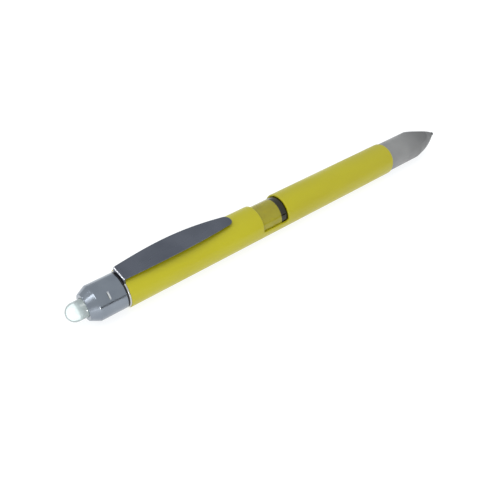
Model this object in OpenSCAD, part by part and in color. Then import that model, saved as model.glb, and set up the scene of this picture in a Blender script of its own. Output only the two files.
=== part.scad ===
// Pen-shaped non-contact voltage tester with a torch in its tail.
// The pen lies along X: torch at -X, sensor tip at +X, pocket clip on top at +Z.
// The origin is on the pen's axis, halfway along its length.

/* [Barrel] */
// Outside diameter of the moulded barrel
barrel_d = 10.4; // [9.8:0.1:13]
// Wall of the barrel
barrel_wall = 0.6; // [0.5:0.05:0.7]
// Length of the barrel behind the window
rear_len = 43.1; // [38:0.1:60]
// Length of the window cut in the top half of the barrel
window_len = 9.4; // [7:0.1:14]
// Length of the barrel in front of the window
front_len = 47; // [46:0.1:70]
// Chamfer on the barrel's front edge
barrel_edge = 0.5; // [0.2:0.05:0.55]

/* [Torch cap] */
// How far the cap stands in from the barrel's surface
trim_step = 0.35; // [0.2:0.05:0.4]
// Length of the cap
cap_len = 9.73; // [9.2:0.01:14]
// Wall of the cap around its thread
cap_wall = 0.45; // [0.4:0.05:0.55]
// Length of the cone on the cap's front
cap_cone_len = 2.4; // [1.5:0.1:2.8]
// Diameter of the cap's flat front
cap_face_d = 7.2; // [6.6:0.1:8.2]
// Length of the index mark on the cap
mark_len = 2.2; // [1:0.1:3]

/* [Torch lamp] */
// Diameter of the lamp's dome
led_d = 5; // [4.8:0.1:5.2]
// Diameter of the lamp's flange
flange_d = 5.8; // [5.6:0.1:6]
// Thickness of the lamp's flange
flange_h = 1; // [0.8:0.1:1.2]
// How far the dome stands out of the cap
led_out = 4.7; // [3:0.1:6]
// Depth of the hole that the dome passes through
led_hole_len = 2.95; // [2.4:0.05:3.2]
// Thickness of the lamp's holder
holder_h = 1; // [0.8:0.1:1.3]
// Thickness of the lamp's round board
lamp_board_h = 0.8; // [0.6:0.1:1]
// Height of the contact behind the lamp's board
contact_h = 0.4; // [0.3:0.05:0.6]

/* [Cells] */
// Diameter of a button cell
cell_d = 7.9; // [7:0.1:7.9]
// Height of a button cell
cell_h = 3.6; // [3:0.1:5.4]
// Length of the cell spring
spring_len = 7; // [5:0.1:9]
// Wire of the cell spring
spring_wire = 0.5; // [0.3:0.05:0.6]
// Turns of the cell spring
spring_turns = 6; // [4:1:8]

/* [Clip] */
// Width of the clip at its root
clip_root_w = 5.1; // [5:0.1:7]
// Width of the clip at its widest
clip_mid_w = 6.5; // [5.5:0.1:8]
// Width of the clip's rounded end
clip_end_w = 3.6; // [2.5:0.1:5]
// Length of the clip behind its bend
clip_len = 34.9; // [28:0.1:37]
// Thickness of the pressed steel
clip_t = 0.45; // [0.35:0.05:0.5]
// Space between the clip's root and the barrel
clip_gap = 0.4; // [0.05:0.05:0.5]
// How far the clip bows away from the barrel halfway along
clip_bow = 0.8; // [0:0.05:0.8]

/* [Sensor tip] */
// Length of the tip's round part
tip_round_len = 15.2; // [10:0.1:20]
// Length of the tip's taper
tip_taper_len = 10.9; // [8:0.1:14]
// Length of the nib
nib_len = 1.8; // [1:0.1:2.5]
// Diameter of the nib where it leaves the tip
nib_d = 2; // [1.6:0.1:2.4]
// Length of the tip's spigot inside the barrel
tip_spigot_len = 6; // [4:0.1:8]

/* [Electronics] */
// Length of the tester's circuit board
board_len = 36; // [30:0.5:37]
// Width of the tester's circuit board
board_w = 8.2; // [7:0.1:8.2]
// Thickness of the tester's circuit board
board_t = 1; // [0.8:0.1:1.2]
// Diameter of the buzzer
buzzer_d = 5.6; // [4:0.1:5.6]
// Height of the buzzer
buzzer_h = 2; // [1:0.1:2]
// Diameter of the indicator lamp
indicator_d = 3; // [2.5:0.1:3.2]
// Diameter of the dark boot around the indicator lamp
boot_d = 6.6; // [5:0.1:6.8]

/* [Hidden] */
$fn = 96;

// Clearances
slip = 0.05;      // radial, a pushed-in or turning fit
face_gap = 0.02;  // between faces that meet
lap = 1;          // how far a cut runs past what it cuts

// Diameters that follow from the barrel
bore_d = barrel_d - 2 * barrel_wall;
inner_d = bore_d - 2 * slip;
trim_d = barrel_d - 2 * trim_step;
cap_bore_d = trim_d - 2 * cap_wall;
neck_d = cap_bore_d - 2 * slip;
tube_bore_d = cell_d + 0.15;

// Thickness of the washer between the cap and the clip's ring
seal_t = 0.3;

// Stations along X, from the torch to the nib
total_len = led_out + cap_len + seal_t + clip_t + rear_len + window_len + front_len
            + tip_round_len + tip_taper_len + nib_len + face_gap;
dome_x = -total_len / 2;
face_x = dome_x + led_out;
cap_end_x = face_x + cap_len;
seal_x = cap_end_x + face_gap;
ring_x = seal_x + seal_t;
joint_x = ring_x + clip_t;
window_x = joint_x + rear_len;
front_x = window_x + window_len;
barrel_end_x = front_x + front_len;
shoulder_x = barrel_end_x + tip_round_len;
nib_x = shoulder_x + tip_taper_len;

// Stations inside the torch
flange_x = face_x + led_hole_len;
holder_x = flange_x + flange_h + face_gap;
lamp_board_x = holder_x + holder_h + face_gap;
contact_x = lamp_board_x + lamp_board_h;
neck_x = contact_x + slip;
cells_x = contact_x + contact_h + face_gap;
cell_count = 4;
cell_pitch = cell_h + face_gap;
spring_x = cells_x + cell_count * cell_pitch;
seat_x = spring_x + spring_len + face_gap;
seat_t = 2;
seat_rim = 0.4;
seat_plug_d = cell_d - 0.5;
tube_end_x = seat_x + seat_t;

// Stations inside the window and the front of the barrel
window_spigot = 3;
window_tube_x = window_x - window_spigot;
window_tube_end_x = front_x + window_spigot;
window_wall = 0.8;
boot_x = front_x - 2;
boot_end_x = window_tube_end_x - face_gap;
board_x = window_tube_end_x + 0.4;
carrier_x = window_tube_end_x + face_gap;
carrier_wall = 0.6;
// the board rests on the carrier's two rims, so the hollow between them is narrower than the board
board_ledge = 0.15;
carrier_hollow_d = min(inner_d - 2 * carrier_wall, board_w - 2 * board_ledge);
spigot_x = barrel_end_x - tip_spigot_len;
carrier_end_x = spigot_x - 0.4;
board_end_x = min(board_x + board_len, carrier_end_x);

// Supply strips, which lie in a groove under the window tube and the carrier
strip_w = 0.9;
strip_t = 0.25;
strip_end_x = board_x + 1.5;
strip_y = 0.8;
// the strips' lower corners stay just clear of the barrel's bore
strip_z = 0.027 - sqrt(pow(bore_d / 2, 2) - pow(strip_y + strip_w / 2, 2));
groove_w = 2 * (strip_y + strip_w / 2 + 0.1);
groove_top_z = strip_z + strip_t + 0.1;

// A round bar along X
module bar(x0, x1, d) {
    translate([x0, 0, 0]) rotate([0, 90, 0]) cylinder(h = x1 - x0, d = d);
}

// A round bar along X whose diameter changes evenly from end to end
module taper(x0, x1, d0, d1) {
    translate([x0, 0, 0]) rotate([0, 90, 0]) cylinder(h = x1 - x0, d1 = d0, d2 = d1);
}

// A tube along X
module tube(x0, x1, outer, inner) {
    difference() {
        bar(x0, x1, outer);
        bar(x0 - lap, x1 + lap, inner);
    }
}

// A block given by its lowest and highest corner
module block(low, high) {
    translate(low) cube(high - low);
}

// Rear moulding of the barrel: a sleeve, then a trough that runs on under the window
module barrel() {
    color("gold") difference() {
        bar(joint_x, front_x, barrel_d);
        bar(joint_x - lap, front_x + lap, bore_d);
        block([window_x, -barrel_d, 0], [front_x + lap, barrel_d, barrel_d]);
    }
}

// Front moulding of the barrel, from the window to the sensor tip
module front_sleeve() {
    color("gold") difference() {
        union() {
            bar(front_x + face_gap, barrel_end_x - barrel_edge, barrel_d);
            taper(barrel_end_x - barrel_edge, barrel_end_x, barrel_d, barrel_d - 2 * barrel_edge);
        }
        bar(front_x - lap, barrel_end_x + lap, bore_d);
    }
}

// The brass tube that holds the cells; its bare neck carries the cap's thread.
module battery_tube() {
    color("goldenrod") difference() {
        union() {
            bar(neck_x, joint_x + face_gap, neck_d);
            bar(joint_x + face_gap, tube_end_x, inner_d);
        }
        bar(neck_x - lap, seat_x + seat_rim + face_gap, tube_bore_d);
        bar(neck_x, tube_end_x + lap, seat_plug_d + 2 * slip);
    }
}

// Pressed ring of the clip, clamped around the neck, with the tab that the clip bends from
tab_top_z = barrel_d / 2 + clip_gap;
module clip_ring() {
    color("slategray") difference() {
        union() {
            bar(ring_x, joint_x, trim_d + 0.3);
            block([ring_x, -clip_root_w / 2, 0], [joint_x, clip_root_w / 2, tab_top_z]);
        }
        bar(ring_x - lap, joint_x + lap, neck_d + 2 * slip);
    }
}

// Height of the clip's outer face above the pen's axis at fraction t of its length
clip_low_z = tab_top_z + face_gap * 2;
clip_top_z = clip_low_z + clip_t;
function clip_rise(t) = clip_top_z + clip_bow * sin(180 * t) + clip_bow / 6 * t;
clip_steps = 16;
clip_x = ring_x;
clip_end_x = joint_x + clip_len - clip_t;
function clip_station(t) = clip_x + (clip_end_x - clip_x) * t;

// Half width of the clip at fraction t of its sides, which end where its end is rounded
clip_wide_at = 0.45;
clip_side_end_x = clip_end_x - clip_end_w / 2;
function clip_half(t) = t < clip_wide_at
    ? clip_root_w / 2 + (clip_mid_w - clip_root_w) / 2 * sin(90 * t / clip_wide_at)
    : clip_mid_w / 2 - (clip_mid_w - clip_end_w) / 2 * pow((t - clip_wide_at) / (1 - clip_wide_at), 2);

// Outline of the clip seen from above, with its round end as an arc
module clip_outline() {
    arc_step = 15;
    side = [for (i = [0 : clip_steps])
        [clip_x + (clip_side_end_x - clip_x) * i / clip_steps, clip_half(i / clip_steps)]];
    polygon(concat(
        side,
        [for (a = [90 - arc_step : -arc_step : arc_step - 90])
            [clip_side_end_x + clip_end_w / 2 * cos(a), clip_end_w / 2 * sin(a)]],
        [for (i = [clip_steps : -1 : 0]) [side[i][0], -side[i][1]]]));
}

module pocket_clip() {
    color("dimgray") intersection() {
        rotate([90, 0, 0]) linear_extrude(clip_mid_w + lap, center = true) polygon(concat(
            [for (i = [0 : clip_steps]) [clip_station(i / clip_steps), clip_rise(i / clip_steps)]],
            [for (i = [clip_steps : -1 : 0])
                [clip_station(i / clip_steps), clip_rise(i / clip_steps) - clip_t]]));
        linear_extrude(2 * barrel_d) clip_outline();
    }
}

// Flat black washer between the cap and the clip's ring
module cap_seal() {
    color("black") tube(seal_x, ring_x, trim_d - 0.3, neck_d + 2 * slip);
}

module torch_cap() {
    bore_x = flange_x + flange_h + slip;
    mark_x = face_x + 0.57 * cap_len;
    color("lightsteelblue") difference() {
        union() {
            taper(face_x, face_x + cap_cone_len, cap_face_d, trim_d);
            bar(face_x + cap_cone_len, cap_end_x, trim_d);
        }
        bar(face_x - lap, flange_x, led_d + 4 * slip);
        bar(flange_x - slip, bore_x, flange_d + 4 * slip);
        bar(bore_x - slip, cap_end_x + lap, cap_bore_d);
        rotate([-50, 0, 0]) translate([mark_x, -trim_d / 2, 0])
            block([-0.15, -0.12, -mark_len / 2], [0.15, 0.12, mark_len / 2]);
    }
}

// Round lamp: flange, body and dome
module torch_led() {
    dome_r = led_d / 2;
    color("white") union() {
        bar(flange_x + slip / 2, flange_x + flange_h, flange_d);
        bar(dome_x + dome_r, flange_x + flange_h, led_d);
        translate([dome_x + dome_r, 0, 0]) rotate([0, -90, 0]) intersection() {
            sphere(r = dome_r);
            cylinder(h = dome_r, r = led_d);
        }
    }
}

lead_d = 0.5;
lead_pitch = 2.54;
module led_leads() {
    color("silver") for (side = [-1, 1])
        translate([0, side * lead_pitch / 2, 0]) bar(flange_x + flange_h + face_gap / 2, lamp_board_x, lead_d);
}

lamp_d = cap_bore_d - 4 * slip;
module led_holder() {
    color("ivory") difference() {
        bar(holder_x, holder_x + holder_h, lamp_d);
        for (side = [-1, 1])
            translate([0, side * lead_pitch / 2, 0]) bar(holder_x - lap, holder_x + holder_h + lap, lead_d + 0.1);
    }
}

module lamp_board() {
    color("green") bar(lamp_board_x, lamp_board_x + lamp_board_h, lamp_d);
}

contact_d = 3;
module lamp_contact() {
    color("gold") bar(contact_x, contact_x + contact_h, contact_d);
}

// Button cell: wide can with a smaller cap on its -X end
module cell(index) {
    x0 = cells_x + index * cell_pitch;
    rim = 0.3;
    color("silver") union() {
        bar(x0, x0 + rim, cell_d - 1.2);
        bar(x0 + rim, x0 + cell_h, cell_d);
    }
}

// Helical spring: a round wire swept along a helix, with its ends closed
spring_r = tube_bore_d / 2 - 0.15 - spring_wire / 2;
wire_sides = 8;
rings_per_turn = 14;
spring_rings = spring_turns * rings_per_turn;
spring_span = spring_len - spring_wire;
module cell_spring() {
    points = [for (i = [0 : spring_rings]) for (j = [0 : wire_sides - 1])
        let (turn = 360 * i / rings_per_turn, side = 360 * j / wire_sides,
             r = spring_r + spring_wire / 2 * cos(side))
        [spring_x + spring_wire / 2 + spring_span * i / spring_rings + spring_wire / 2 * sin(side),
         r * cos(turn), r * sin(turn)]];
    last = spring_rings * wire_sides;
    color("silver") polyhedron(points, concat(
        [[for (j = [0 : wire_sides - 1]) wire_sides - 1 - j]],
        [[for (j = [0 : wire_sides - 1]) last + j]],
        [for (i = [0 : spring_rings - 1]) for (j = [0 : wire_sides - 1])
            let (a = i * wire_sides + j, b = i * wire_sides + (j + 1) % wire_sides)
            [a, b, b + wire_sides, a + wire_sides]]));
}

// Insulating seat with the spring's contact, which closes the battery tube
module spring_seat() {
    color("darkslategray") union() {
        bar(seat_x, seat_x + seat_rim, tube_bore_d - 2 * slip);
        bar(seat_x + seat_rim, tube_end_x, seat_plug_d);
    }
}

// Two strips that carry the supply from the cells to the board, past the window
module supply_strips() {
    start_x = tube_end_x + face_gap;
    end_x = strip_end_x;
    tab_top = -face_gap;
    color("orange") for (side = [-1, 1]) translate([0, side * strip_y, 0]) union() {
        block([start_x, -strip_w / 2, strip_z], [end_x, strip_w / 2, strip_z + strip_t]);
        block([start_x, -strip_w / 2, strip_z], [start_x + strip_t, strip_w / 2, -cell_d / 4]);
        block([end_x - strip_t, -strip_w / 2, strip_z], [end_x, strip_w / 2, tab_top]);
    }
}

module strip_groove(x0, x1) {
    block([x0, -groove_w / 2, -barrel_d], [x1, groove_w / 2, groove_top_z]);
}

// Clear tinted tube behind the window
module window_tube() {
    color("olive", 0.5) difference() {
        tube(window_tube_x, window_tube_end_x, inner_d, inner_d - 2 * window_wall);
        strip_groove(window_tube_x - lap, window_tube_end_x + lap);
    }
}

// Dark boot that keeps the indicator lamp's light in the window
module indicator_boot() {
    color("black") tube(boot_x, boot_end_x, boot_d, indicator_d + 2 * slip);
}

module indicator_led() {
    r = indicator_d / 2;
    base_x = boot_end_x - 0.1;
    color("red") union() {
        bar(boot_x + r + 0.2, base_x, indicator_d);
        translate([boot_x + r + 0.2, 0, 0]) rotate([0, -90, 0]) intersection() {
            sphere(r = r);
            cylinder(h = r, r = indicator_d);
        }
    }
}

// Trough that carries the board on its two edges
module board_carrier() {
    color("dimgray") difference() {
        tube(carrier_x, carrier_end_x, inner_d, carrier_hollow_d);
        block([carrier_x - lap, -barrel_d, 0], [carrier_end_x + lap, barrel_d, barrel_d]);
        strip_groove(carrier_x - lap, strip_end_x + 0.2);
        block([strip_end_x - strip_t - 0.2, -groove_w / 2, -barrel_d], [strip_end_x + 0.2, groove_w / 2, lap]);
    }
}

module circuit_board() {
    color("darkgreen")
        block([board_x, -board_w / 2, face_gap], [board_end_x, board_w / 2, face_gap + board_t]);
}

board_top_z = face_gap + board_t + face_gap;
chip_len = 8.6;
chip_w = 3.9;
chip_h = 1.5;
module detector_chip() {
    pins = 7;
    pin_pitch = 1.27;
    chip_x = board_x + 7;
    color("black") union() {
        block([chip_x, -chip_w / 2, board_top_z + 0.1], [chip_x + chip_len, chip_w / 2, board_top_z + chip_h]);
        for (i = [0 : pins - 1])
            translate([chip_x + chip_len / 2 + (i - (pins - 1) / 2) * pin_pitch, 0, board_top_z])
                block([-0.2, -3, 0], [0.2, 3, 0.3]);
    }
}

// Resistors and capacitors in two rows, and a transistor
module board_parts() {
    color("sienna") union() {
        for (i = [0 : 3]) for (side = [-1, 1])
            translate([board_x + 18 + 1.9 * i, side * 1.7, board_top_z])
                block([-0.6, -0.8, 0], [0.6, 0.8, 0.6]);
        translate([board_x + 3.5, 0, board_top_z]) block([-1.4, -1, 0], [1.4, 1, 1.1]);
    }
}

module buzzer() {
    color("black") translate([board_end_x - buzzer_d / 2 - 1.5, 0, board_top_z])
        cylinder(h = buzzer_h, d = buzzer_d);
}

// The wire from the board to the sensing plate
plate_x = barrel_end_x + 2;
module sensor_wire() {
    color("red") translate([0, 0, board_top_z + 0.3]) bar(board_end_x - 1.2, plate_x - face_gap, 0.6);
}

plate_w = 4;
plate_t = 0.4;
plate_len = 15;
module sensor_plate() {
    low = board_top_z + 0.1;
    color("gold") block([plate_x, -plate_w / 2, low], [plate_x + plate_len, plate_w / 2, low + plate_t]);
}

// Tip: a round part, then a taper whose outline is a shallow arc, with two flats
tip_end_r = nib_d / 2 + 0.2;
tip_arc_steps = 24;
tip_bulge = 0.55;
function tip_radius(t) = trim_d / 2 + (tip_end_r - trim_d / 2) * t + tip_bulge * sin(180 * t);
module tip_flat(turn, start_r, start_x, end_r, end_x) {
    slope = atan2(start_r - end_r, end_x - start_x);
    rotate([turn, 0, 0]) translate([start_x, 0, start_r]) rotate([0, slope, 0])
        translate([-lap, -barrel_d, 0]) cube([3 * tip_taper_len, 2 * barrel_d, barrel_d]);
}
module sensor_tip() {
    hollow_d = inner_d - 1.6;
    hollow_end_x = shoulder_x - 2;
    color("gray") difference() {
        union() {
            bar(spigot_x, barrel_end_x + face_gap, inner_d);
            bar(barrel_end_x + face_gap, shoulder_x, trim_d);
            translate([shoulder_x, 0, 0]) rotate([0, 90, 0]) rotate_extrude() polygon(concat(
                [[0, 0]],
                [for (i = [0 : tip_arc_steps]) [tip_radius(i / tip_arc_steps), tip_taper_len * i / tip_arc_steps]],
                [[0, tip_taper_len]]));
        }
        bar(spigot_x - lap, hollow_end_x, hollow_d);
        block([hollow_end_x - lap, -plate_w / 2 - 0.1, board_top_z],
              [plate_x + plate_len + 0.2, plate_w / 2 + 0.1, board_top_z + plate_t + 0.2]);
        bar(nib_x - 3, nib_x + lap, nib_d / 2 + 2 * slip);
        tip_flat(-35, trim_d / 2, shoulder_x - 0.8, tip_end_r, nib_x);
        tip_flat(20, trim_d / 2, shoulder_x - 8, trim_d / 2 - 1.5, shoulder_x + 6);
    }
}

// Nib: a pin pressed into the tip, with a tapered head
module tip_nib() {
    color("black") union() {
        bar(nib_x - 2.9, nib_x + face_gap, nib_d / 2);
        taper(nib_x + face_gap, nib_x + nib_len, nib_d, nib_d / 2);
    }
}

barrel();
front_sleeve();
battery_tube();
clip_ring();
pocket_clip();
cap_seal();
torch_cap();
torch_led();
led_leads();
led_holder();
lamp_board();
lamp_contact();
cell(0);  // cell_1
cell(1);  // cell_2
cell(2);  // cell_3
cell(3);  // cell_4
cell_spring();
spring_seat();
supply_strips();
window_tube();
indicator_boot();
indicator_led();
board_carrier();
circuit_board();
detector_chip();
board_parts();
buzzer();
sensor_wire();
sensor_plate();
sensor_tip();
tip_nib();
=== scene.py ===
import math

import bmesh
import bpy
import mathutils
import numpy as np
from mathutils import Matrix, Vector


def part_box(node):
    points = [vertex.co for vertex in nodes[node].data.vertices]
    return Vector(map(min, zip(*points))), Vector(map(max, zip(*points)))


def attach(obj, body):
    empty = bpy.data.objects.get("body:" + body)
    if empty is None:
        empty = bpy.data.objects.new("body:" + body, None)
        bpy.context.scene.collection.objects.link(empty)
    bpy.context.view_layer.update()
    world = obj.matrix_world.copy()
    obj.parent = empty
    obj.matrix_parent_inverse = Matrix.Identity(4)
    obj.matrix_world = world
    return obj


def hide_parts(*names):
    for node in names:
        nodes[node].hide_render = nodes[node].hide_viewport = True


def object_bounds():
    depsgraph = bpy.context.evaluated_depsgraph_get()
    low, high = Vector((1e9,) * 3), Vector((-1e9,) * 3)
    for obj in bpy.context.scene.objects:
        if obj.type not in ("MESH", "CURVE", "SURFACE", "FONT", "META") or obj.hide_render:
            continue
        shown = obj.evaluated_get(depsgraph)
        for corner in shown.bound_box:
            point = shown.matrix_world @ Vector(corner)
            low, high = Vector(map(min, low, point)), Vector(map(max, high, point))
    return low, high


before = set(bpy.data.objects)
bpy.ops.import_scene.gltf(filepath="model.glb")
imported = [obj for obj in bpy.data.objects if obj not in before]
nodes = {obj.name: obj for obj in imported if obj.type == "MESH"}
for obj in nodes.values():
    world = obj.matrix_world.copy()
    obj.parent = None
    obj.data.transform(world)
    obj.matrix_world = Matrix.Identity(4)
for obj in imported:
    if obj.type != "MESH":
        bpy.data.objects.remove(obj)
cad_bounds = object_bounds()


# Circuit board, with its chip, small parts and buzzer. The board is glass-epoxy laminate under a green
# solder mask; the chip and the buzzer are black mouldings, the small parts are fired ceramic. They are
# soldered down before the board goes into the pen.
mm = 0.001


def srgb(red, green, blue):
    """A screen colour, each part from 0 to 255, as the linear colour that a shader takes."""
    parts = np.array([red, green, blue]) / 255
    return tuple(np.where(parts <= 0.04045, parts / 12.92, ((parts + 0.055) / 1.055) ** 2.4)) + (1.0,)


class Finish:
    """A material on Object coordinates, built up from a Principled shader."""

    # places of the two colours and of the result on a mix node that mixes colours
    first_colour, second_colour, mixed_colour = 6, 7, 2

    def __init__(self, name, colour, roughness, metallic=0.0):
        self.material = bpy.data.materials.new(name)
        self.material.use_nodes = True
        self.tree = self.material.node_tree
        self.shader = self.tree.nodes["Principled BSDF"]
        self.place = self.tree.nodes.new("ShaderNodeTexCoord").outputs["Object"]
        self.set(**{"Base Color": colour, "Roughness": roughness, "Metallic": metallic})

    def set(self, **values):
        """Sets sockets of the shader that are the same all over."""
        for socket, value in values.items():
            self.shader.inputs[socket].default_value = value

    def node(self, kind, **settings):
        """Adds a node. A setting named after an input sets that input, and any other sets a property."""
        node = self.tree.nodes.new(kind)
        for key, value in settings.items():
            if key in node.inputs:
                node.inputs[key].default_value = value
            else:
                setattr(node, key, value)
        return node

    def link(self, source, target):
        self.tree.links.new(source, target)

    def stretched(self, scale):
        """Object coordinates multiplied by scale, so that a low scale draws a pattern out along its axis."""
        mapping = self.node("ShaderNodeMapping", Scale=scale)
        self.link(self.place, mapping.inputs["Vector"])
        return mapping.outputs["Vector"]

    def noise(self, size, detail=3.0, stretch=(1, 1, 1)):
        """Soft noise whose features are about size metres across, from 0 to 1."""
        node = self.node("ShaderNodeTexNoise", Scale=1 / size, Detail=detail)
        self.link(self.stretched(stretch), node.inputs["Vector"])
        return node.outputs["Fac"]

    def ramp(self, source, low, high, start=0.35, end=0.65):
        """source rescaled so that start to end becomes low to high, and held beyond them."""
        node = self.node("ShaderNodeMapRange")
        for socket, value in (("From Min", start), ("From Max", end), ("To Min", low), ("To Max", high)):
            node.inputs[socket].default_value = value
        self.link(source, node.inputs["Value"])
        return node.outputs["Result"]

    def tinted(self, other, share):
        """Mixes another colour over the base colour, by a share from 0 to 1."""
        base = self.shader.inputs["Base Color"]
        mix = self.node("ShaderNodeMix", data_type="RGBA")
        mix.inputs[self.second_colour].default_value = other
        if base.is_linked:
            self.link(base.links[0].from_socket, mix.inputs[self.first_colour])
        else:
            mix.inputs[self.first_colour].default_value = base.default_value[:]
        self.link(share, mix.inputs["Factor"])
        self.link(mix.outputs[self.mixed_colour], base)
        return self

    def mottle(self, other, size, most, detail=3.0, stretch=(1, 1, 1)):
        """Mixes up to most of another colour into the base colour, in soft patches."""
        return self.tinted(other, self.ramp(self.noise(size, detail, stretch), 0.0, most))

    def handled(self, size, low, high, stretch=(1, 1, 1)):
        """Lets roughness wander between low and high in patches, as handling leaves it."""
        self.link(self.ramp(self.noise(size, 4.0, stretch), low, high), self.shader.inputs["Roughness"])
        return self

    def fade(self, other, start, end, most):
        """Mixes another colour in along the pen, from none of it at x = start to most at x = end."""
        split = self.node("ShaderNodeSeparateXYZ")
        self.link(self.place, split.inputs["Vector"])
        return self.tinted(other, self.ramp(split.outputs["X"], 0.0, most, start, end))

    def bumped(self, height, depth, invert=False):
        """A bump whose height runs from 0 to depth metres, on top of any bump that is already there."""
        bump = self.node("ShaderNodeBump", Strength=1.0, Distance=depth, invert=invert)
        normal = self.shader.inputs["Normal"]
        self.link(height, bump.inputs["Height"])
        if normal.is_linked:
            self.link(normal.links[0].from_socket, bump.inputs["Normal"])
        self.link(bump.outputs["Normal"], normal)
        return self

    def grain(self, size, depth, stretch=(1, 1, 1)):
        """A fine bump of noise, depth metres deep."""
        return self.bumped(self.noise(size, 2.0, stretch), depth)


def dress(node_name, finish):
    """Gives a CAD node its finish."""
    mesh = nodes[node_name].data
    mesh.materials.clear()
    mesh.materials.append(finish.material)


solder_mask = Finish("solder_mask", srgb(24, 92, 52), 0.35).mottle(srgb(14, 62, 36), 3 * mm, 0.5)
solder_mask.handled(2 * mm, 0.3, 0.45).grain(0.4 * mm, 0.01 * mm)
black_moulding = Finish("black_moulding", srgb(26, 26, 28), 0.5).mottle(srgb(44, 44, 46), 1.5 * mm, 0.4)
black_moulding.handled(1 * mm, 0.42, 0.6).grain(0.15 * mm, 0.008 * mm)
fired_ceramic = Finish("fired_ceramic", srgb(158, 128, 96), 0.55).mottle(srgb(116, 92, 70), 1 * mm, 0.5)
fired_ceramic.handled(0.8 * mm, 0.45, 0.65).grain(0.1 * mm, 0.005 * mm)
dress("circuit_board", solder_mask)
dress("detector_chip", black_moulding)
dress("buzzer", black_moulding)
dress("board_parts", fired_ceramic)


# Board carrier: a black moulded trough that slides into the front of the barrel and holds the board by
# its edges.
dress("board_carrier", black_moulding)


# Battery tube, cells, spring, seat and supply strips. The tube and the strips are drawn brass, the cells
# nickel-plated cans, the spring bright wire. They drop in from the tail in that order.
drawn_brass = Finish("drawn_brass", srgb(214, 184, 118), 0.28, 1.0).mottle(srgb(176, 142, 84), 2 * mm, 0.5)
drawn_brass.handled(1 * mm, 0.2, 0.36, (0.2, 1, 1)).grain(0.1 * mm, 0.003 * mm, (0.1, 1, 1))
nickel_can = Finish("nickel_can", srgb(205, 206, 208), 0.22, 1.0).mottle(srgb(160, 161, 164), 1.2 * mm, 0.4)
nickel_can.handled(0.8 * mm, 0.16, 0.32).grain(0.08 * mm, 0.002 * mm)
bright_wire = Finish("bright_wire", srgb(196, 197, 200), 0.25, 1.0)
bright_wire.mottle(srgb(140, 141, 146), 0.6 * mm, 0.4)
bright_wire.handled(0.5 * mm, 0.2, 0.35).grain(0.05 * mm, 0.002 * mm)
pale_moulding = Finish("pale_moulding", srgb(226, 223, 208), 0.5).mottle(srgb(206, 202, 186), 1.5 * mm, 0.5)
pale_moulding.handled(1 * mm, 0.42, 0.58).grain(0.15 * mm, 0.006 * mm)
dress("supply_strips", drawn_brass)
dress("cell_spring", bright_wire)
dress("spring_seat", pale_moulding)
for number in (1, 2, 3, 4):
    dress(f"cell_{number}", nickel_can)


# Indicator lamp in its boot: a small red lamp pushed into a black rubber boot, which keeps its light in
# the window. Both are turned shapes. The boot's face is what shows dark through the window.
turns = 144


def filleted(corners, arc_steps=6):
    """An outline in (x, radius). Each corner (x, radius, fillet) becomes an arc of that fillet, tangent to
    its two sides, with one more point just beyond each end of the arc so that flat faces stay flat."""
    places = np.array([corner[:2] for corner in corners], float)
    outline = [places[0]]
    for before, corner, after, (_, _, fillet) in zip(places, places[1:], places[2:], corners[1:]):
        to_before = (before - corner) / np.linalg.norm(before - corner)
        to_after = (after - corner) / np.linalg.norm(after - corner)
        half = math.acos(np.clip(to_before @ to_after, -1, 1)) / 2
        if fillet <= 0 or half > math.radians(89.5):
            outline.append(corner)
            continue
        between = (to_before + to_after) / np.linalg.norm(to_before + to_after)
        middle = corner + between * fillet / math.sin(half)
        reach = fillet / math.tan(half)
        first = corner + to_before * reach - middle
        last = corner + to_after * reach - middle
        share = np.linspace(0, 1, arc_steps + 1)[:, None]
        sweep = math.pi - 2 * half
        arc = (np.sin((1 - share) * sweep) * first + np.sin(share * sweep) * last) / math.sin(sweep)
        hold = 0.2 * fillet
        outline.append(corner + to_before * (reach + hold))
        outline.extend(middle + arc)
        outline.append(corner + to_after * (reach + hold))
    outline.append(places[-1])
    return np.array(outline)


def mesh_piece(name, points, faces, finish, body, stands_for):
    """Makes a closed, smooth piece from its points and faces, merges its seams and poles, and names the
    body that it rides on and the nodes that it stands for."""
    mesh = bpy.data.meshes.new(name)
    mesh.from_pydata(points.tolist(), [], [list(dict.fromkeys(face)) for face in faces.tolist()])
    work = bmesh.new()
    work.from_mesh(mesh)
    bmesh.ops.remove_doubles(work, verts=work.verts, dist=1e-7)
    bmesh.ops.dissolve_degenerate(work, edges=work.edges, dist=1e-8)
    bmesh.ops.recalc_face_normals(work, faces=work.faces)
    work.to_mesh(mesh)
    work.free()
    mesh.shade_smooth()
    mesh.materials.append(finish.material)
    piece = bpy.data.objects.new(name, mesh)
    bpy.context.scene.collection.objects.link(piece)
    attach(piece, body)
    for node_name in stands_for:
        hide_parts(node_name)
    return piece


def grid_faces(rows, columns, wrap_rows=False, wrap_columns=True):
    """Four-cornered faces between neighbouring rows and columns of a grid of points."""
    row, column = np.meshgrid(
        np.arange(rows if wrap_rows else rows - 1),
        np.arange(columns if wrap_columns else columns - 1), indexing="ij")
    next_row, next_column = (row + 1) % rows, (column + 1) % columns
    corners = [row * columns + column, row * columns + next_column,
               next_row * columns + next_column, next_row * columns + column]
    return np.stack(corners, -1).reshape(-1, 4)


def turned(outline, around=turns):
    """Points of an outline in (x, radius) turned about the pen's axis: x stays, radius goes round."""
    angle = np.linspace(0, 2 * math.pi, around, endpoint=False)
    x = np.broadcast_to(outline[:, :1], (len(outline), around))
    return np.stack([x, outline[:, 1:] * np.cos(angle), outline[:, 1:] * np.sin(angle)], -1)


def turned_piece(name, outline, finish, body, stands_for, around=turns):
    """A lathe-turned piece, closed by its outline meeting the axis or itself."""
    points = turned(outline, around).reshape(-1, 3)
    return mesh_piece(name, points, grid_faces(len(outline), around), finish, body, stands_for)


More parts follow.
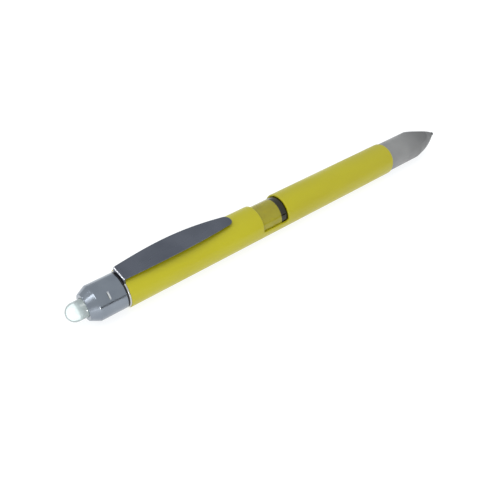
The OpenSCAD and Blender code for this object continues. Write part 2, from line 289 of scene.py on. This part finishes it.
def dome(centre_x, radius, steps=20):
    """Outline of a half ball facing the torch end, from its pole round to its widest ring."""
    angle = np.linspace(0, math.pi / 2, steps)
    return np.stack([centre_x - radius * np.cos(angle), radius * np.sin(angle)], -1)


black_rubber = Finish("black_rubber", srgb(20, 17, 17), 0.55).mottle(srgb(40, 36, 34), 0.8 * mm, 0.5)
black_rubber.handled(0.6 * mm, 0.45, 0.7).grain(0.08 * mm, 0.006 * mm)
red_cast = Finish("red_cast", srgb(120, 22, 18), 0.12).mottle(srgb(70, 12, 12), 0.8 * mm, 0.6)
red_cast.handled(0.6 * mm, 0.08, 0.18).grain(0.3 * mm, 0.002 * mm)

boot_low, boot_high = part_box("indicator_boot")
lamp_low, lamp_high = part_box("indicator_led")
boot_hole = lamp_high.y + 0.05 * mm
boot_outline = filleted([
    (boot_high.x, boot_hole, 0), (boot_high.x, boot_high.y, 0.3 * mm), (boot_low.x, boot_high.y, 0.35 * mm),
    (boot_low.x, boot_hole, 0.3 * mm), (boot_high.x, boot_hole, 0)])
turned_piece("indicator_boot_rubber", boot_outline, black_rubber, "pen", ["indicator_boot"])
lamp_outline = np.vstack([
    dome(lamp_low.x + lamp_high.y, lamp_high.y), [[lamp_high.x, lamp_high.y], [lamp_high.x, 0]]])
turned_piece("indicator_lamp", lamp_outline, red_cast, "pen", ["indicator_led"])


# Battery tube: drawn brass, with the cap's thread rolled into its bare neck. Its bore is left smooth for
# the cells, and its front end is closed by the spring's seat.
brass_low, brass_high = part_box("battery_tube")
barrel_low, barrel_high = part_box("barrel")
seat_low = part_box("spring_seat")[0]
neck_radius = 4.35 * mm
cell_bore = 4.025 * mm
plug_bore = 3.75 * mm
plug_x = seat_low.x + 0.42 * mm
step_x = barrel_low.x + 0.02 * mm
thread_pitch = 0.75 * mm
thread_depth = 0.16 * mm
thread_start = brass_low.x + 0.4 * mm
thread_end = barrel_low.x - 0.6 * mm
thread_fade = 0.5 * mm
thread_rows = 90
on_neck_within = 0.001 * mm
neck_x = np.linspace(thread_start + 0.1 * mm, thread_end, thread_rows)
brass_outline = np.vstack([
    filleted([(plug_x, cell_bore, 0), (brass_low.x, cell_bore, 0.1 * mm),
              (brass_low.x, neck_radius, 0.1 * mm), (thread_start, neck_radius, 0)]),
    np.stack([neck_x, np.full(thread_rows, neck_radius)], -1),
    filleted([(thread_end + 0.1 * mm, neck_radius, 0), (step_x, neck_radius, 0),
              (step_x, brass_high.y, 0.1 * mm), (brass_high.x, brass_high.y, 0.15 * mm),
              (brass_high.x, plug_bore, 0.1 * mm), (plug_x, plug_bore, 0), (plug_x, cell_bore, 0)])])
brass_points = turned(brass_outline)
# the thread: the radius drops by a raised cosine of the distance along a helix, faded out at its ends
along = brass_points[..., 0]
turn_share = np.arange(turns) / turns
from_ends = np.minimum(along - thread_start, thread_end - along)
faded = np.clip(from_ends / thread_fade, 0, 1)
on_neck = np.abs(np.hypot(brass_points[..., 1], brass_points[..., 2]) - neck_radius) < on_neck_within
helix = 0.5 - 0.5 * np.cos(2 * math.pi * (along / thread_pitch - turn_share))
groove = thread_depth * helix * faded * on_neck
brass_points[..., 1:] *= (1 - groove / neck_radius)[..., None]
mesh_piece("battery_tube_brass", brass_points.reshape(-1, 3), grid_faces(len(brass_outline), turns),
           drawn_brass, "pen", ["battery_tube"])


# Window tube: a clear olive-tinted tube, cast and polished, pushed into the barrel before the boot so
# that it shows where the window is cut. It is black at its front end, where it masks the boot behind it.
tube_low, tube_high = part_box("window_tube")
window_wall = 0.8 * mm
tube_bore = tube_high.y - window_wall
tube_outline = filleted([
    (tube_high.x, tube_bore, 0), (tube_high.x, tube_high.y, 0.15 * mm),
    (tube_low.x, tube_high.y, 0.15 * mm), (tube_low.x, tube_bore, 0.15 * mm), (tube_high.x, tube_bore, 0)])
olive_clear = Finish("olive_clear", srgb(190, 182, 44), 0.05).mottle(srgb(172, 158, 22), 4 * mm, 0.6)
olive_clear.set(**{"Transmission Weight": 0.5, "IOR": 1.49})
olive_clear.handled(2 * mm, 0.03, 0.12).grain(1.5 * mm, 0.01 * mm)
mask_start = boot_low.x - 0.35 * mm
mask_end = boot_low.x - 0.1 * mm
olive_clear.fade(srgb(16, 10, 10), mask_start, mask_end, 0.97)
turned_piece("window_tube_clear", tube_outline, olive_clear, "pen", ["window_tube"])


# Barrel: a moulded tube of satin yellow plastic, with the window cut across its top half. Its wall has a
# small rounded edge all round the window, and a rounded front end. One shell stands for both its halves,
# whose joint lies at the window's front edge.
sleeve_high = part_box("front_sleeve")[1]
barrel_radius = barrel_high.y
barrel_wall = 0.6 * mm
bore_radius = barrel_radius - barrel_wall
window_spigot = 3 * mm
window_start = tube_low.x + window_spigot
window_end = tube_high.x - window_spigot
window_margin = 2.5 * mm
window_corner = 0.7 * mm
edge_round = 0.16 * mm


def window_edge(count_end, count_side):
    """The window's edge on the unrolled barrel, as (x, arc length from the top), and the outward direction
    there. It runs along the rear end, one side, the front end and the other side. Each point is that of
    a rectangle pulled in at its corners to a quarter circle."""
    half_arc = barrel_radius * math.pi / 2
    half_len = (window_end - window_start) / 2
    end = np.linspace(-1, 1, count_end, endpoint=False)
    side = np.linspace(-1, 1, count_side, endpoint=False)
    square = np.concatenate([
        np.stack([-np.ones(count_end), end], -1), np.stack([side, np.ones(count_side)], -1),
        np.stack([np.ones(count_end), -end], -1), np.stack([-side, -np.ones(count_side)], -1)])
    reach = np.array([half_len, half_arc])
    inner = reach - window_corner
    place = square * reach
    core = np.clip(place, -inner, inner)
    offset = place - core
    length = np.linalg.norm(offset, axis=1, keepdims=True)
    outward = offset / np.maximum(length, 1e-12)
    return core + outward * window_corner, outward


def rolled(flat, radius):
    """Points on the unrolled barrel, (x from the window's middle, arc length), rolled up at a radius."""
    angle = flat[..., 1] / barrel_radius
    x = flat[..., 0] + (window_start + window_end) / 2
    return np.stack([x, radius * np.sin(angle), radius * np.cos(angle)], -1)


count_end = turns
count_side = 24
edge_line, edge_outward = window_edge(count_end, count_side)
half_turn = barrel_radius * math.pi
half_box = (window_end - window_start) / 2 + window_margin
end_share = np.linspace(-1, 1, count_end, endpoint=False)
side_share = np.linspace(-1, 1, count_side, endpoint=False)
box_line = np.concatenate([
    np.stack([np.full(count_end, -half_box), end_share * half_turn], -1),
    np.stack([side_share * half_box, np.full(count_side, half_turn)], -1),
    np.stack([np.full(count_end, half_box), -end_share * half_turn], -1),
    np.stack([-side_share * half_box, np.full(count_side, -half_turn)], -1)])
lip = np.linspace(0, math.pi / 2, 7)
lip_in = edge_round * (1 - np.sin(lip))
lip_down = edge_round * (1 - np.cos(lip))
spread = np.linspace(0, 1, 9)[1:]
start_line = edge_line + edge_outward * edge_round
outer_rows = [rolled(start_line + (box_line - start_line) * share, barrel_radius) for share in spread[::-1]]
outer_rows += [rolled(edge_line + edge_outward * out, barrel_radius - down)
               for out, down in zip(lip_in, lip_down)]
inner_rows = [rolled(edge_line + edge_outward * out, bore_radius + down)
              for out, down in zip(lip_in[::-1], lip_down[::-1])]
inner_rows += [rolled(start_line + (box_line - start_line) * share, bore_radius) for share in spread]
window_rows = np.array(outer_rows + inner_rows)
window_faces = grid_faces(len(window_rows), window_rows.shape[1])

ring_angle = -np.concatenate([end_share, [1.0]]) * math.pi


def barrel_end(outline):
    """A stretch of plain tube: an outline in (x, radius) turned about the axis, on the same angles as the
    points round the window, so that the two meet."""
    x = np.broadcast_to(outline[:, :1], (len(outline), len(ring_angle)))
    return np.stack([x, -outline[:, 1:] * np.sin(ring_angle), outline[:, 1:] * np.cos(ring_angle)], -1)


rear_join = window_start - window_margin
front_join = window_end + window_margin
rear_outline = filleted([
    (rear_join, barrel_radius, 0), (barrel_low.x, barrel_radius, 0.12 * mm),
    (barrel_low.x, bore_radius, 0.1 * mm), (rear_join, bore_radius, 0)])
front_outline = filleted([
    (front_join, barrel_radius, 0), (sleeve_high.x, barrel_radius, 0.45 * mm),
    (sleeve_high.x, bore_radius, 0.1 * mm), (front_join, bore_radius, 0)], 8)
rear_points = barrel_end(rear_outline)
front_points = barrel_end(front_outline)
rear_faces = grid_faces(len(rear_outline), len(ring_angle), wrap_columns=False)
front_faces = grid_faces(len(front_outline), len(ring_angle), wrap_columns=False)
parts = [window_rows.reshape(-1, 3), rear_points.reshape(-1, 3), front_points.reshape(-1, 3)]
barrel_points = np.concatenate(parts)
barrel_faces = np.concatenate([
    window_faces, rear_faces + len(parts[0]), front_faces + len(parts[0]) + len(parts[1])])

satin_yellow = Finish("satin_yellow", srgb(170, 163, 3), 0.38)
satin_yellow.mottle(srgb(158, 148, 14), 14 * mm, 0.6, 2.0, (0.4, 1, 1))
satin_yellow.handled(6 * mm, 0.32, 0.46, (0.5, 1, 1)).grain(0.12 * mm, 0.004 * mm)
mesh_piece("barrel_shell", barrel_points, barrel_faces, satin_yellow, "pen",
           ["barrel", "front_sleeve"])


# Sensor tip: a grey moulding pushed into the barrel, round and then drawn in to a point along a shallow
# arc, with two flats. The brass sensing plate and its wire go in first. The dark nib is pressed in last.
dress("sensor_wire", bright_wire)
dress("sensor_plate", drawn_brass)
satin_grey = Finish("satin_grey", srgb(127, 127, 126), 0.42).mottle(srgb(116, 116, 116), 5 * mm, 0.5)
satin_grey.handled(3 * mm, 0.36, 0.5).grain(0.12 * mm, 0.005 * mm)
dark_nib = Finish("dark_nib", srgb(44, 44, 46), 0.45).mottle(srgb(36, 36, 38), 0.8 * mm, 0.6)
dark_nib.handled(0.5 * mm, 0.38, 0.55).grain(0.08 * mm, 0.004 * mm)
tip_low, tip_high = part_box("sensor_tip")
nib_low, nib_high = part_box("tip_nib")
slip = 0.05 * mm
seat_gap = 0.02 * mm
tip_seat_x = sleeve_high.x + seat_gap
spigot_radius = bore_radius - slip
trim_radius = tip_high.y
hollow_radius = spigot_radius - 0.8 * mm
round_len = 15.2 * mm
shoulder_x = sleeve_high.x + round_len
tip_end_radius = 1.2 * mm
tip_bulge = 0.55 * mm
nib_stem_radius = 0.5 * mm
nib_hole_radius = nib_stem_radius + slip
nib_hole_end = tip_high.x - 3 * mm
hollow_end = shoulder_x - 2 * mm
share = np.linspace(0, 1, 60)
taper_radius = trim_radius + (tip_end_radius - trim_radius) * share + tip_bulge * np.sin(math.pi * share)
taper = np.stack([shoulder_x + (tip_high.x - shoulder_x) * share, taper_radius], -1)
round_rows = 40
round_x = np.linspace(tip_seat_x + 0.38 * mm, shoulder_x, round_rows, endpoint=False)
tip_outline = np.vstack([
    filleted([(hollow_end, 0, 0), (hollow_end, hollow_radius, 0), (tip_low.x, hollow_radius, 0.1 * mm),
              (tip_low.x, spigot_radius, 0.2 * mm), (tip_seat_x, spigot_radius, 0),
              (tip_seat_x, trim_radius, 0.12 * mm), (tip_seat_x + 0.28 * mm, trim_radius, 0)]),
    np.stack([round_x, np.full(round_rows, trim_radius)], -1), taper[:-1],
    filleted([(tip_high.x - 0.001 * mm, tip_end_radius, 0), (tip_high.x, tip_end_radius - 0.03 * mm, 0),
              (tip_high.x, nib_hole_radius, 0.05 * mm), (nib_hole_end, nib_hole_radius, 0),
              (nib_hole_end, 0, 0)])])
tip_points = turned(tip_outline, 2 * turns)
# painted shade: the grey is darkened along the taper towards the nib, standing in for the shade on the
# drawn-in point as it turns away from the light
satin_grey.fade(srgb(50, 50, 52), shoulder_x - 8 * mm, tip_high.x, 0.85)


def flatten(points, towards, start_radius, start_x, end_radius, end_x, soften):
    """Cuts a flat on a turned piece. The flat faces an angle round the axis and falls from one radius to
    another between two stations; a radius past it comes down to it, with the edge softened by a smooth
    minimum."""
    radius = np.hypot(points[..., 1], points[..., 2])
    angle = np.arctan2(points[..., 2], points[..., 1]) - towards
    fall = (start_radius - end_radius) / (end_x - start_x)
    flat = (start_radius + (start_x - points[..., 0]) * fall) / np.maximum(np.cos(angle), 0.05)
    least = -soften * np.logaddexp(-radius / soften, -flat / soften)
    outside = (radius > spigot_radius + seat_gap) | (points[..., 0] > shoulder_x)
    scale = np.where(outside & (radius > 0), least / np.maximum(radius, 1e-9), 1)
    points[..., 1:] *= np.minimum(scale, 1)[..., None]


flat_edge = 0.03 * mm
flatten(tip_points, math.radians(55), trim_radius, shoulder_x - 0.8 * mm,
        tip_end_radius, tip_high.x, flat_edge)
flatten(tip_points, math.radians(110), trim_radius, shoulder_x - 8 * mm,
        trim_radius - 1.5 * mm, shoulder_x + 6 * mm, flat_edge)
mesh_piece("sensor_tip_shell", tip_points.reshape(-1, 3), grid_faces(len(tip_outline), 2 * turns),
           satin_grey, "pen", ["sensor_tip"])
nib_seat_x = tip_high.x + seat_gap
nib_outline = filleted([
    (nib_low.x, 0, 0), (nib_low.x, nib_stem_radius, 0.05 * mm), (nib_seat_x, nib_stem_radius, 0),
    (nib_seat_x, nib_high.y, 0.08 * mm), (nib_high.x, nib_stem_radius, 0.3 * mm), (nib_high.x, 0, 0)])
turned_piece("nib_head", nib_outline, dark_nib, "pen", ["tip_nib"], 64)


# Clip ring and pocket clip: pressed from one strip of spring steel, with a dark plated finish. The ring
# is clamped round the neck, its tab stands up at the top, and the clip runs back from it over the barrel.
plated_steel = Finish("plated_steel", srgb(104, 108, 118), 0.3, 1.0).mottle(srgb(88, 92, 102), 8 * mm, 0.6)
plated_steel.handled(4 * mm, 0.26, 0.42, (0.3, 1, 1)).grain(0.08 * mm, 0.003 * mm, (0.08, 1, 1))
ring_low, ring_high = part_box("clip_ring")
ring_radius = -ring_low.z
ring_hole = 4.4 * mm
ring_outline = filleted([
    (ring_high.x, ring_hole, 0), (ring_high.x, ring_radius, 0.08 * mm),
    (ring_low.x, ring_radius, 0.15 * mm), (ring_low.x, ring_hole, 0.05 * mm), (ring_high.x, ring_hole, 0)])
# painted highlight: the ring band is the same dark plated steel as the tab and clip, but is given a
# near-white colour that stands in for the bright line of light round the joint behind the cap
ring_painted_highlight = Finish("ring_painted_highlight", srgb(206, 207, 204), 0.24, 1.0)
ring_painted_highlight.mottle(srgb(176, 177, 176), 1.5 * mm, 0.5)
ring_painted_highlight.handled(1 * mm, 0.2, 0.32).grain(0.05 * mm, 0.002 * mm)
turned_piece("clip_ring_band", ring_outline, ring_painted_highlight, "pen", ["clip_ring"])

clip_low, clip_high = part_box("pocket_clip")
clip_root_half = 2.55 * mm
clip_mid_half = clip_high.y
clip_end_half = 1.8 * mm
clip_thick = 0.45 * mm
clip_bow = 0.79 * mm
clip_crown = 0.1 * mm


def tab_section():
    """The ring's tab: across the clip's root, from just outside the ring's hole up to the clip, as loops
    of four corners at each place across, drawn together at both ends so that the tab is closed."""
    across = np.linspace(-clip_root_half, clip_root_half, 41)
    low = np.sqrt((ring_hole + 0.03 * mm) ** 2 - across ** 2)
    high = np.full_like(across, ring_high.z)
    front = np.full_like(across, ring_low.x)
    back = np.full_like(across, ring_high.x)
    corners = [(front, across, low), (front, across, high), (back, across, high), (back, across, low)]
    loops = np.stack([np.stack(corner, -1) for corner in corners], 1)
    ends = [np.broadcast_to(loops[side].mean(axis=0), (4, 3)) for side in (0, -1)]
    return np.concatenate([ends[0][None], loops, ends[1][None]])


tab_points = tab_section()
tab = mesh_piece("clip_tab", tab_points.reshape(-1, 3), grid_faces(len(tab_points), 4), plated_steel,
                 "pen", ["clip_ring"])
tab.data.shade_flat()


def clip_rise(x):
    """Height of the clip's outer face: it bows over a half sine from its root to its end, and its end
    stands a little further out than its root."""
    t = (x - clip_low.x) / (clip_high.x - clip_low.x)
    return clip_low.z + clip_thick + clip_bow * np.sin(math.pi * t) + clip_bow / 6 * t


def clip_edge():
    """The clip from above: each side widens over a quarter sine, then narrows along a parabola to a round
    end, and the root is cut straight across. Returns the points and where along the pen the sides end."""
    widest_at = 0.45
    side_end = clip_high.x - clip_end_half
    t = np.linspace(0, 1, 90)
    before = np.minimum(t / widest_at, 1)
    after = np.maximum(t - widest_at, 0) / (1 - widest_at)
    widening = clip_root_half + (clip_mid_half - clip_root_half) * np.sin(math.pi / 2 * before)
    narrowing = clip_mid_half - (clip_mid_half - clip_end_half) * after ** 2
    half = np.where(t < widest_at, widening, narrowing)
    x = clip_low.x + (side_end - clip_low.x) * t
    turn = np.linspace(math.pi / 2, -math.pi / 2, 33)[1:-1]
    end = np.stack([side_end + clip_end_half * np.cos(turn), clip_end_half * np.sin(turn)], -1)
    root_y = np.linspace(-clip_root_half, clip_root_half, 24)[1:-1]
    root = np.stack([np.full_like(root_y, clip_low.x), root_y], -1)
    side = np.stack([x, half], -1)
    points = np.concatenate([side, end, (side * [1, -1])[::-1], root])
    return points, side_end


clip_line, clip_side_end = clip_edge()
tangent = np.roll(clip_line, -1, axis=0) - np.roll(clip_line, 1, axis=0)
inward = np.stack([tangent[:, 1], -tangent[:, 0]], -1) / np.linalg.norm(tangent, axis=1, keepdims=True)
spine_start = clip_low.x + 1.2 * mm
spine_x = np.clip(clip_line[:, 0], spine_start, clip_side_end)
spine = np.stack([spine_x, np.zeros(len(clip_line))], -1)
# the upper edge's rounding grows over the last stretch before the root, where the strip is folded down
fold_len = 0.6 * mm
at_root = np.clip(1 - (clip_line[:, 0] - clip_low.x) / fold_len, 0, 1)
top_round = (0.13 * mm + 0.14 * mm * at_root)[:, None]
top_round_height = 0.8
low_round = 0.1 * mm


def clip_ring_of(flat, drop):
    """One loop of the clip's surface: points seen from above, lowered from its outer face by drop."""
    return np.concatenate([flat, (clip_rise(flat[:, 0]) - drop)[:, None]], axis=1)


clip_rings = []
inner_line = clip_line + inward * top_round
for way in np.linspace(0, 1, 7):
    clip_rings.append(clip_ring_of(spine + (inner_line - spine) * way, clip_crown * way ** 2))
for angle in np.linspace(0, math.pi / 2, 7)[1:]:
    flat = clip_line + inward * top_round * (1 - math.sin(angle))
    drop = clip_crown + top_round[:, 0] * (1 - math.cos(angle)) * top_round_height
    clip_rings.append(clip_ring_of(flat, drop))
for angle in np.linspace(0, math.pi / 2, 5):
    flat = clip_line + inward * low_round * (1 - math.cos(angle))
    clip_rings.append(clip_ring_of(flat, clip_thick - low_round * (1 - math.sin(angle))))
clip_rings.append(clip_ring_of(spine + (clip_line + inward * low_round - spine) * 0.5, clip_thick))
clip_rings.append(clip_ring_of(spine, clip_thick))
clip_points = np.array(clip_rings)
clip_finish = Finish("clip_steel", srgb(104, 108, 118), 0.26, 1.0).mottle(srgb(88, 92, 102), 8 * mm, 0.6)
clip_finish.handled(4 * mm, 0.22, 0.36, (0.3, 1, 1)).grain(0.08 * mm, 0.003 * mm, (0.08, 1, 1))
# painted highlight: the clip turns near-white over its last stretch before the folded front edge, standing
# in for the bright line of light along the fold
highlight_from = clip_low.x + 0.34 * mm
highlight_to = clip_low.x + 0.16 * mm
clip_finish.fade(srgb(222, 224, 228), highlight_from, highlight_to, 0.9)
mesh_piece("pocket_clip_blade", clip_points.reshape(-1, 3), grid_faces(*clip_points.shape[:2]), clip_finish,
           "clip", ["pocket_clip"])

# the washer between the ring and the cap
seal_low, seal_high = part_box("cap_seal")
seal_outline = filleted([
    (seal_high.x, ring_hole, 0), (seal_high.x, seal_high.y, 0.08 * mm),
    (seal_low.x, seal_high.y, 0.08 * mm), (seal_low.x, ring_hole, 0.05 * mm), (seal_high.x, ring_hole, 0)])
turned_piece("cap_seal_washer", seal_outline, black_rubber, "pen", ["cap_seal"])


# Torch lamp: a clear round lamp, lit, with its leads through a moulded holder to a small round board
# with a contact behind it. It is assembled first and dropped into the cap from behind.
dress("led_leads", bright_wire)
dress("led_holder", pale_moulding)
dress("lamp_board", solder_mask)
dress("lamp_contact", drawn_brass)
torch_low, torch_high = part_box("torch_led")
dome_radius = 2.5 * mm
flange_x = torch_high.x - 0.975 * mm
lamp_shell = np.vstack([
    dome(torch_low.x + dome_radius, dome_radius, 28),
    filleted([(torch_low.x + dome_radius + 0.1 * mm, dome_radius, 0), (flange_x, dome_radius, 0),
              (flange_x, torch_high.y, 0.1 * mm), (torch_high.x, torch_high.y, 0.1 * mm),
              (torch_high.x, 0, 0)])])
clear_epoxy = Finish("clear_epoxy", srgb(198, 208, 208), 0.03).mottle(srgb(186, 200, 198), 2 * mm, 0.5)
clear_epoxy.set(**{"Transmission Weight": 0.5, "IOR": 1.5})
turned_piece("torch_lamp_body", lamp_shell, clear_epoxy, "lamp", ["torch_led"])
core_radius = 1.35 * mm
core_x = torch_low.x + dome_radius - 0.1 * mm
core_end_x = core_x + 0.5 * mm
core_outline = np.vstack([dome(core_x, core_radius), [[core_end_x, core_radius], [core_end_x, 0]]])
lit_core = Finish("lit_core", srgb(250, 252, 250), 0.4).mottle(srgb(240, 248, 244), 1 * mm, 0.5)
lit_core.set(**{"Emission Color": srgb(250, 255, 254), "Emission Strength": 1.25})
turned_piece("torch_lamp_core", core_outline, lit_core, "lamp", ["torch_led"], 96)


# Torch cap: turned aluminium, polished, with a coned front, a rounded rim and an index mark. It screws
# onto the battery tube's neck and holds the lamp and the clip's ring in place.
cap_low, cap_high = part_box("torch_cap")
cap_face_radius = 3.6 * mm
cone_len = 2.4 * mm
lamp_clearance = 0.1 * mm
cap_wall = 0.45 * mm
cap_hole = dome_radius + lamp_clearance
cap_pocket = torch_high.y + lamp_clearance
cap_bore = cap_high.y - cap_wall
flange_seat = cap_low.x + 2.95 * mm
pocket_end = flange_seat + 1.05 * mm
cap_outline = filleted([
    (flange_seat, cap_hole, 0), (cap_low.x, cap_hole, 0.2 * mm), (cap_low.x, cap_face_radius, 0.25 * mm),
    (cap_low.x + cone_len, cap_high.y, 0.3 * mm), (cap_high.x, cap_high.y, 0.22 * mm),
    (cap_high.x, cap_bore, 0.1 * mm), (pocket_end, cap_bore, 0.1 * mm), (pocket_end, cap_pocket, 0.05 * mm),
    (flange_seat, cap_pocket, 0), (flange_seat, cap_hole, 0)], 8)
polished_cap = Finish("polished_cap", srgb(140, 147, 156), 0.2, 1.0)
polished_cap.mottle(srgb(126, 133, 143), 4 * mm, 0.6)
polished_cap.handled(2 * mm, 0.13, 0.24).grain(0.06 * mm, 0.002 * mm, (1, 0.1, 0.1))
mark_x = cap_low.x + 0.57 * (cap_high.x - cap_low.x)
mark_turn = math.radians(50)


def engrave(finish, x, turn, half_width, half_length, depth, painted_glint):
    """Adds a straight groove across the axis to a finish, as a bump with a painted highlight colour in it:
    both fall to nothing within half a width and half a length of a spot at x, turned about the axis from the
    -Y side. The light colour is painted highlight, standing in for light caught along the groove."""
    place = finish.node("ShaderNodeMapping", vector_type="TEXTURE", Location=(x, 0, 0))
    place.inputs["Rotation"].default_value = (-turn, 0, 0)
    finish.link(finish.place, place.inputs["Vector"])
    split = finish.node("ShaderNodeSeparateXYZ")
    finish.link(place.outputs["Vector"], split.inputs["Vector"])
    inside = finish.ramp(split.outputs["Y"], 1.0, 0.0, -0.001 * mm, 0.0)
    for axis, reach in (("X", half_width), ("Z", half_length)):
        distance = finish.node("ShaderNodeMath", operation="ABSOLUTE")
        finish.link(split.outputs[axis], distance.inputs[0])
        both = finish.node("ShaderNodeMath", operation="MULTIPLY")
        finish.link(inside, both.inputs[0])
        finish.link(finish.ramp(distance.outputs[0], 1.0, 0.0, 0.5 * reach, reach), both.inputs[1])
        inside = both.outputs[0]
    finish.tinted(painted_glint, inside).bumped(inside, depth, invert=True)


# painted highlight: the index mark's near-white colour stands in for light caught along the groove
engrave(polished_cap, mark_x, mark_turn, 0.3 * mm, 1.2 * mm, 0.15 * mm, srgb(226, 228, 230))
turned_piece("torch_cap_shell", cap_outline, polished_cap, "cap", ["torch_cap"], 2 * turns)


# Floor, lights and camera: a plain pale floor that is lit a little from within, an even studio sky, one
# large softbox above and two small ones for the highlights on the cap. A black card, which the camera
# doesn't see, gives the dark line that runs along the polished metal.
floor_half = 3.0
floor_z = cad_bounds[0][2]


def flat_card(name, corners, finish):
    """A single four-cornered face, which is part of the stage and not of the pen."""
    mesh = bpy.data.meshes.new(name)
    mesh.from_pydata(corners, [], [(0, 1, 2, 3)])
    mesh.materials.append(finish.material)
    card = bpy.data.objects.new(name, mesh)
    bpy.context.scene.collection.objects.link(card)
    return card


floor_white = Finish("floor_white", srgb(124, 125, 126), 0.7)
floor_white.set(**{"Emission Color": srgb(250, 251, 252), "Emission Strength": 0.88})
flat_card("floor", [
    (-floor_half, -floor_half, floor_z), (floor_half, -floor_half, floor_z),
    (floor_half, floor_half, floor_z), (-floor_half, floor_half, floor_z)], floor_white)

world = bpy.data.worlds.new("studio")
bpy.context.scene.world = world
world.use_nodes = True
world.node_tree.nodes["Background"].inputs["Color"].default_value = (0.95, 0.98, 1.0, 1)
world.node_tree.nodes["Background"].inputs["Strength"].default_value = 0.8


def softbox(name, place, aim, size, power):
    """A square area light at place, turned to face aim."""
    light = bpy.data.lights.new(name, "AREA")
    light.shape = "SQUARE"
    light.size = size
    light.energy = power
    lamp = bpy.data.objects.new(name, light)
    bpy.context.scene.collection.objects.link(lamp)
    lamp.location = place
    facing = mathutils.Vector(aim) - mathutils.Vector(place)
    lamp.rotation_euler = facing.to_track_quat("-Z", "Y").to_euler()


cap_place = (-0.06, 0, 0)
softbox("key_light", place=(-0.35, -0.05, 0.8), aim=(0, 0, 0), size=0.5, power=3.2)
softbox("rim_light", place=(-0.40, 0.30, 0.285), aim=cap_place, size=0.08, power=0.22)
softbox("low_light", place=(-0.26, -0.5, 0.05), aim=cap_place, size=0.12, power=0.9)

card_y = -0.5
card_start, card_end = 0.02, 0.9
card_top = 0.07
black_card = flat_card("black_card", [
    (card_start, card_y, floor_z), (card_end, card_y, floor_z),
    (card_end, card_y, card_top), (card_start, card_y, card_top)], black_moulding)
black_card.visible_camera = False

view_place = mathutils.Vector((-0.10123, -0.09039, 0.11254))
view_back = mathutils.Vector((-0.5, -0.51165, 0.69872)).normalized()
view_right = mathutils.Vector((0.76565, -0.63820, 0.08056))
view_right = (view_right - view_back * view_right.dot(view_back)).normalized()
view_up = view_back.cross(view_right)
camera_data = bpy.data.cameras.new("camera")
camera_data.sensor_width = 36
camera_data.lens = 42.35
camera_data.clip_start = 0.01
camera = bpy.data.objects.new("camera", camera_data)
bpy.context.scene.collection.objects.link(camera)
turn = mathutils.Matrix((view_right, view_up, view_back)).transposed().to_4x4()
camera.matrix_world = mathutils.Matrix.Translation(view_place) @ turn
bpy.context.scene.camera = camera
bpy.context.scene.view_settings.view_transform = "Standard"
